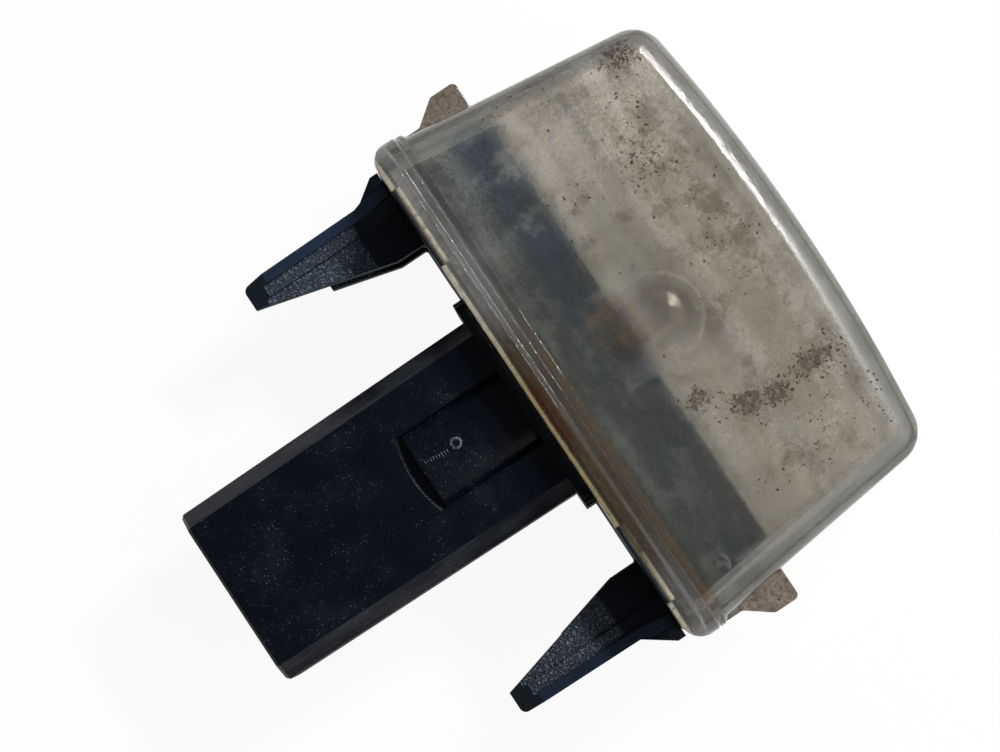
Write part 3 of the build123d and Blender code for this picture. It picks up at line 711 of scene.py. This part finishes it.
class LAMP_OT_bulb(LampPiece, bpy.types.Operator):
    """Blows the bulb's thin glass with its flat wedge, and winds the filament"""

    bl_idname = "lamp.bulb"
    bl_label = "Bulb"

    def lathe(self, profile, steps=48):
        """A closed round body about the Y axis, from points of radius and depth."""
        self.clear_selection()
        bpy.ops.mesh.primitive_plane_add(size=MM)
        body = bpy.context.object
        bpy.ops.object.mode_set(mode="EDIT")
        bpy.ops.mesh.select_mode(type="VERT")
        bpy.ops.mesh.merge(type="CENTER")
        bpy.ops.transform.translate(value=(profile[0][0], profile[0][1], 0))
        for (r0, y0), (r1, y1) in zip(profile, profile[1:]):
            bpy.ops.mesh.extrude_region_move(TRANSFORM_OT_translate={"value": (r1 - r0, y1 - y0, 0)})
        bpy.ops.mesh.select_all(action="SELECT")
        bpy.ops.mesh.spin(steps=steps, angle=math.tau, center=(0, 0, 0), axis=(0, 1, 0))
        bpy.ops.mesh.select_all(action="SELECT")
        bpy.ops.mesh.remove_doubles(threshold=MM / 500)
        bpy.ops.mesh.normals_make_consistent(inside=False)
        return body

    def form(self, sizes, inset, foot):
        """The bulb's body drawn in by the inset: a domed rod, pinched flat to a wedge that runs to its foot."""
        radius = sizes.radius - inset
        dome = -sizes.tip + sizes.radius
        arc = [math.radians(90 * step / 14) for step in range(15)]
        profile = [(radius * math.sin(turn), dome - radius * math.cos(turn)) for turn in arc]
        neck = -sizes.neck - 2 * inset
        body = self.lathe(profile + [(radius, -sizes.shoulder), (radius, neck), (0, neck)])
        pinch = Vector((sizes.radius - sizes.wedge / 2, sizes.shoulder - sizes.neck)).normalized()
        for side in (1, -1):
            bpy.ops.mesh.select_all(action="SELECT")
            bpy.ops.mesh.bisect(plane_co=(0, -sizes.shoulder, side * radius),
                                plane_no=(0, pinch.x, side * pinch.y), threshold=MM / 1000,
                                use_fill=True, clear_outer=True)
        self.pick(body, lambda face: face.normal.y > 0.99 and face.center.y > neck - MM / 10)
        bpy.ops.mesh.extrude_region_move(TRANSFORM_OT_translate={"value": (0, foot - neck, 0)})
        if inset == 0:
            bpy.ops.mesh.bevel(offset=MM / 4, segments=3, affect="EDGES")
        bpy.ops.mesh.select_all(action="SELECT")
        bpy.ops.mesh.normals_make_consistent(inside=inset > 0)
        bpy.ops.object.mode_set(mode="OBJECT")
        return body

    def glass(self, sizes):
        outside = self.form(sizes, 0, sizes.base)
        hollow = self.form(sizes, sizes.wall, -sizes.neck - MM / 2)
        bulb = self.join([outside, hollow])
        bpy.ops.object.shade_smooth_by_angle(angle=math.radians(32))
        self.keep(bulb, "bulb_envelope", "bulb_glass", bulb_material(), "bulb_glass")

    def filament(self, sizes):
        self.clear_selection()
        start = (-sizes.span / 2, sizes.coil, 0)
        bpy.ops.mesh.primitive_circle_add(vertices=6, radius=sizes.thread, location=start)
        coil = bpy.context.object
        bpy.ops.object.transform_apply()
        wind = coil.modifiers.new("wind", "SCREW")
        wind.axis = "X"
        wind.iterations = sizes.turns
        wind.screw_offset = sizes.span / sizes.turns
        wind.steps = wind.render_steps = 12
        bpy.ops.object.modifier_apply(modifier="wind")
        bpy.ops.object.mode_set(mode="EDIT")
        bpy.ops.mesh.select_all(action="SELECT")
        bpy.ops.mesh.fill_holes(sides=8)
        bpy.ops.mesh.normals_make_consistent(inside=False)
        bpy.ops.object.mode_set(mode="OBJECT")
        bend = coil.modifiers.new("bow", "SIMPLE_DEFORM")
        bend.deform_method = "BEND"
        bend.deform_axis = "Z"
        bend.angle = 8 * sizes.bow / sizes.span
        bpy.ops.object.modifier_apply(modifier="bow")
        bpy.ops.transform.translate(value=(0, -sizes.coil_depth - sizes.bow, 0))
        bpy.ops.object.transform_apply()
        bpy.ops.object.shade_smooth()
        self.keep(coil, "filament_coil", "filament", tungsten_material(), "bulb_filament")

    def execute(self, context):
        self.glass(context.scene.lamp_bulb)
        self.filament(context.scene.lamp_bulb)
        return {"FINISHED"}


class LAMP_OT_latch_marks(LampPiece, bpy.types.Operator):
    """Raises the rough gate ring and the row of chatter ticks on the latch ramp"""

    bl_idname = "lamp.latch_marks"
    bl_label = "Latch marks"

    def gate(self, sizes, finish):
        place, _ = self.rest("housing", GATE_PLACE[0] * MM, GATE_PLACE[1] * MM)
        self.clear_selection()
        bpy.ops.mesh.primitive_circle_add(vertices=22, radius=sizes.gate, fill_type="NGON", location=place)
        ring = bpy.context.object
        bpy.ops.object.transform_apply()
        bpy.ops.object.mode_set(mode="EDIT")
        bpy.ops.mesh.select_all(action="SELECT")
        bpy.ops.transform.translate(value=(0, 0, -sizes.gate_height))
        bpy.ops.mesh.extrude_region_move(TRANSFORM_OT_translate={"value": (0, 0, 2 * sizes.gate_height)})
        bpy.ops.mesh.inset(thickness=sizes.gate * 0.14, depth=sizes.gate_height * 0.4)
        bpy.ops.mesh.inset(thickness=sizes.gate * 0.20, depth=0)
        bpy.ops.mesh.inset(thickness=sizes.gate * 0.16, depth=-sizes.gate_height * 1.9)
        bpy.ops.mesh.select_all(action="SELECT")
        bpy.ops.transform.vertex_random(offset=sizes.gate * 0.04, uniform=0.4, seed=5)
        bpy.ops.mesh.normals_make_consistent(inside=False)
        bpy.ops.object.mode_set(mode="OBJECT")
        bpy.ops.object.shade_smooth_by_angle(angle=math.radians(50))
        self.keep(ring, "gate_mark", "housing", finish)

    def chatter(self, sizes, finish):
        draw = random.Random(7)
        ticks = []
        for step in range(sizes.ticks):
            share = step / (sizes.ticks - 1)
            x, y = (start + reach * share for start, reach in zip(FIRST_TICK, TICK_ROW))
            place, _ = self.rest("housing", x * MM, y * MM)
            self.clear_selection()
            bpy.ops.mesh.primitive_cube_add(size=sizes.tick, location=place)
            tick = bpy.context.object
            tick.scale = (draw.uniform(0.75, 1.05) * (1 - 0.2 * share), 0.22, 0.26)
            tick.rotation_euler.z = draw.uniform(-0.15, 0.15)
            bpy.ops.object.transform_apply()
            bpy.ops.object.mode_set(mode="EDIT")
            self.pick(tick, lambda face: face.normal.z > 0.9)
            bpy.ops.transform.resize(value=(0.72, 0.45, 1), center_override=tuple(place))
            bpy.ops.mesh.select_all(action="SELECT")
            bpy.ops.mesh.bevel(offset=sizes.tick * 0.02, segments=2, affect="EDGES")
            bpy.ops.object.mode_set(mode="OBJECT")
            ticks.append(tick)
        row = self.join(ticks)
        bpy.ops.object.shade_smooth_by_angle(angle=math.radians(40))
        self.keep(row, "chatter_marks", "housing", finish)

    def execute(self, context):
        finish = scuffed_material(context.scene.lamp_housing)
        self.gate(context.scene.lamp_marks, finish)
        self.chatter(context.scene.lamp_marks, finish)
        return {"FINISHED"}


class LAMP_OT_dirt(LampPiece, bpy.types.Operator):
    """Scatters flakes of dried dirt over the lens and leaves one dried drop on it"""

    bl_idname = "lamp.dirt"
    bl_label = "Dirt on the lens"

    def drop(self, sizes):
        """A shallow dried drop, drawn out to one side."""
        place, _ = self.rest("lens", DROP_PLACE[0] * MM, DROP_PLACE[1] * MM)
        self.clear_selection()
        bpy.ops.mesh.primitive_circle_add(vertices=28, radius=sizes.drop, fill_type="NGON", location=place)
        drop = bpy.context.object
        bpy.ops.object.transform_apply()
        bpy.ops.object.mode_set(mode="EDIT")
        bpy.ops.mesh.select_all(action="SELECT")
        bpy.ops.transform.resize(value=(1.0, 0.72, 1), center_override=tuple(place))
        bpy.ops.transform.translate(value=(0, 0, -0.03 * MM))
        bpy.ops.mesh.extrude_region_move(TRANSFORM_OT_translate={"value": (0, 0, 0.06 * MM)})
        for thickness, depth in ((0.16, 0.035), (0.20, 0.022), (0.24, 0.012)):
            bpy.ops.mesh.inset(thickness=sizes.drop * thickness, depth=depth * MM)
        bpy.ops.transform.translate(value=(sizes.drop * 0.15, 0, 0))
        bpy.ops.mesh.select_all(action="SELECT")
        bpy.ops.mesh.normals_make_consistent(inside=False)
        bpy.ops.object.mode_set(mode="OBJECT")
        bpy.ops.object.shade_smooth_by_angle(angle=math.radians(60))
        self.keep(drop, "dried_drop", "lens", drop_material())

    def flake(self, width, seed):
        """One flat ragged flake at the origin."""
        self.clear_selection()
        bpy.ops.mesh.primitive_ico_sphere_add(subdivisions=1, radius=width / 2)
        flake = bpy.context.object
        bpy.ops.object.mode_set(mode="EDIT")
        bpy.ops.mesh.select_all(action="SELECT")
        bpy.ops.transform.vertex_random(offset=width * 0.20, uniform=0.2, seed=seed)
        bpy.ops.transform.resize(value=(1.0, 0.62, 0.20), center_override=(0, 0, 0))
        bpy.ops.object.mode_set(mode="OBJECT")
        return flake

    def flakes(self, sizes, finish):
        draw = random.Random(23)
        bpy.context.view_layer.update()
        models = [self.flake(sizes.flake, seed) for seed in range(5)]
        patches = []
        for x, y, reach_x, reach_y, share in DIRT_PATCHES:
            laid = []
            for _ in range(round(sizes.flakes * share)):
                spot = (draw.gauss(x, reach_x / 2) * MM, draw.gauss(y, reach_y / 2) * MM)
                grain = 0.45 + draw.random() ** 2.5 * 1.15
                turn = draw.uniform(0, math.tau)
                place, normal = self.rest("lens", *spot, strict=False)
                if place is None or normal.z < 0.8:
                    continue
                flake = models[len(laid) % len(models)].copy()
                flake.data = flake.data.copy()
                bpy.context.collection.objects.link(flake)
                tilt = normal.to_track_quat("Z", "Y").to_matrix().to_4x4()
                size = Matrix.Diagonal((grain * draw.uniform(0.7, 1.5), grain, grain, 1))
                flake.data.transform(Matrix.Translation(place) @ tilt @ Matrix.Rotation(turn, 4, "Z") @ size)
                laid.append(flake)
            if laid:
                patches.append(self.join(laid))
        for model in models:
            bpy.data.objects.remove(model)
        dirt = self.join(patches)
        self.keep(dirt, "dirt_flakes", "lens", finish)

    def execute(self, context):
        self.drop(context.scene.lamp_marks)
        self.flakes(context.scene.lamp_marks, flake_material(context.scene.lamp_lens))
        return {"FINISHED"}


class LAMP_OT_stage(LampPiece, bpy.types.Operator):
    """Sets the white floor, the lamps, the room light and the camera"""

    bl_idname = "lamp.stage"
    bl_label = "Stage"

    def floor(self, look):
        self.clear_selection()
        low = CAD_BOX[0][2] - 0.00002
        bpy.ops.mesh.primitive_plane_add(size=look.floor_size, location=(0, 0, low))
        floor = bpy.context.object
        floor.name = "floor"
        bpy.ops.object.transform_apply()
        s = Shader("white_floor")
        paper = s.add("ShaderNodeBsdfDiffuse")
        paper.inputs["Color"].default_value = (0.94, 0.94, 0.94, 1)
        glow = s.add("ShaderNodeEmission")
        path = s.add("ShaderNodeLightPath").outputs
        seen = s.most(path["Is Camera Ray"], path["Is Glossy Ray"], path["Is Transmission Ray"])
        mix = s.add("ShaderNodeMixShader")
        s.link(s.times(seen, look.floor_glow), mix.inputs[0])
        s.link(paper.outputs[0], mix.inputs[1])
        s.link(glow.outputs[0], mix.inputs[2])
        floor.data.materials.append(s.show(mix.outputs[0]))

    def lamp(self, name, place, target, size, power):
        self.clear_selection()
        bpy.ops.object.light_add(type="AREA", location=place)
        lamp = bpy.context.object
        lamp.name = name
        lamp.data.shape = "RECTANGLE"
        lamp.data.size, lamp.data.size_y = size
        lamp.data.energy = power
        lamp.rotation_euler = (Vector(target) - Vector(place)).to_track_quat("-Z", "Y").to_euler()

    def room(self, look):
        world = bpy.context.scene.world or bpy.data.worlds.new("room")
        bpy.context.scene.world = world
        world.use_nodes = True
        back = world.node_tree.nodes["Background"]
        back.inputs["Color"].default_value = (0.97, 0.98, 1.0, 1)
        back.inputs["Strength"].default_value = look.world

    def camera(self, look):
        self.clear_selection()
        bpy.ops.object.camera_add()
        camera = bpy.context.object
        camera.name = "camera"
        camera.data.lens = look.focal
        camera.data.sensor_width = 36
        camera.data.clip_start = 0.01
        sight = (Vector(look.camera_target) - Vector(look.camera_place)).normalized()
        up = Vector((math.cos(look.camera_turn), math.sin(look.camera_turn), 0))
        up = (up - sight * up.dot(sight)).normalized()
        turn = Matrix((sight.cross(up), up, -sight)).transposed().to_4x4()
        camera.matrix_world = Matrix.Translation(look.camera_place) @ turn
        bpy.context.scene.camera = camera

    def execute(self, context):
        look = context.scene.lamp_stage
        self.floor(look)
        for lamp in LAMPS:
            self.lamp(*lamp)
        self.room(look)
        self.camera(look)
        context.scene.view_settings.view_transform = "Standard"
        return {"FINISHED"}


class LAMP_PT_pieces(bpy.types.Panel):
    """Lists the steps that dress the lamp"""

    bl_idname = "LAMP_PT_pieces"
    bl_label = "Number plate lamp"
    bl_space_type = "VIEW_3D"
    bl_region_type = "UI"
    bl_category = "Lamp"

    def draw(self, context):
        for step in STEPS:
            self.layout.operator(step.bl_idname)
        for group in LOOKS:
            self.layout.separator()
            for key in LOOKS[group].__annotations__:
                self.layout.prop(getattr(context.scene, group), key)


STEPS = (LAMP_OT_lens, LAMP_OT_housing, LAMP_OT_contacts, LAMP_OT_bulb, LAMP_OT_latch_marks, LAMP_OT_dirt,
         LAMP_OT_stage)
LOOKS = {
    "lamp_lens": LampLensLook,
    "lamp_housing": LampHousingLook,
    "lamp_bulb": LampBulbSizes,
    "lamp_marks": LampMarkSizes,
    "lamp_stage": LampStageLook,
}


def register():
    for item in (*LOOKS.values(), *STEPS, LAMP_PT_pieces):
        bpy.utils.register_class(item)
    for name, group in LOOKS.items():
        setattr(bpy.types.Scene, name, PointerProperty(type=group))


def unregister():
    for name in LOOKS:
        delattr(bpy.types.Scene, name)
    for item in reversed((*LOOKS.values(), *STEPS, LAMP_PT_pieces)):
        bpy.utils.unregister_class(item)


def main():
    """Dresses the lamp step by step."""
    register()
    for step in STEPS:
        group, name = step.bl_idname.split(".")
        getattr(getattr(bpy.ops, group), name)()


if __name__ == "__main__":
    main()
